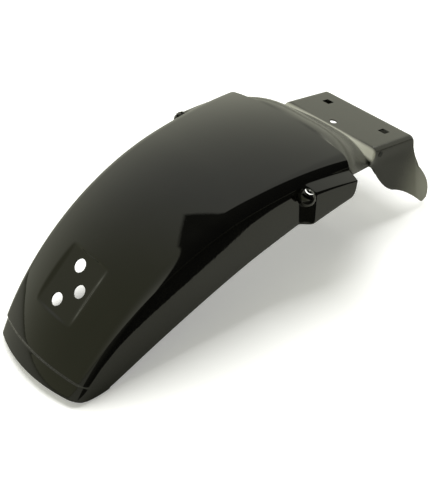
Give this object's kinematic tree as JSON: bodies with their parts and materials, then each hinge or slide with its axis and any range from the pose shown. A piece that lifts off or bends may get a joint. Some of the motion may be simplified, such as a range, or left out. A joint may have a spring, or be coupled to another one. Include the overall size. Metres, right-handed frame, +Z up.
{
  "type": "motorcycle mudguard",
  "caption": "Arched gloss-black steel motorcycle mudguard with a pressed lamp pad, box-shaped side flares and a saddle plate with winged sides.",
  "frame": {"origin": "middle of the bounding box in plan, at the floor that the part lies on", "axes": "+X from the tail edge to the saddle, +Z up, +Y towards the side that the lamp bolt holes are offset to"},
  "size_m": [0.5412, 0.2206, 0.1637],
  "materials": {
    "black_paint": "gloss"
  },
  "bodies": {
    "root": {"fender": "black_paint"}
  },
  "joints": []
}
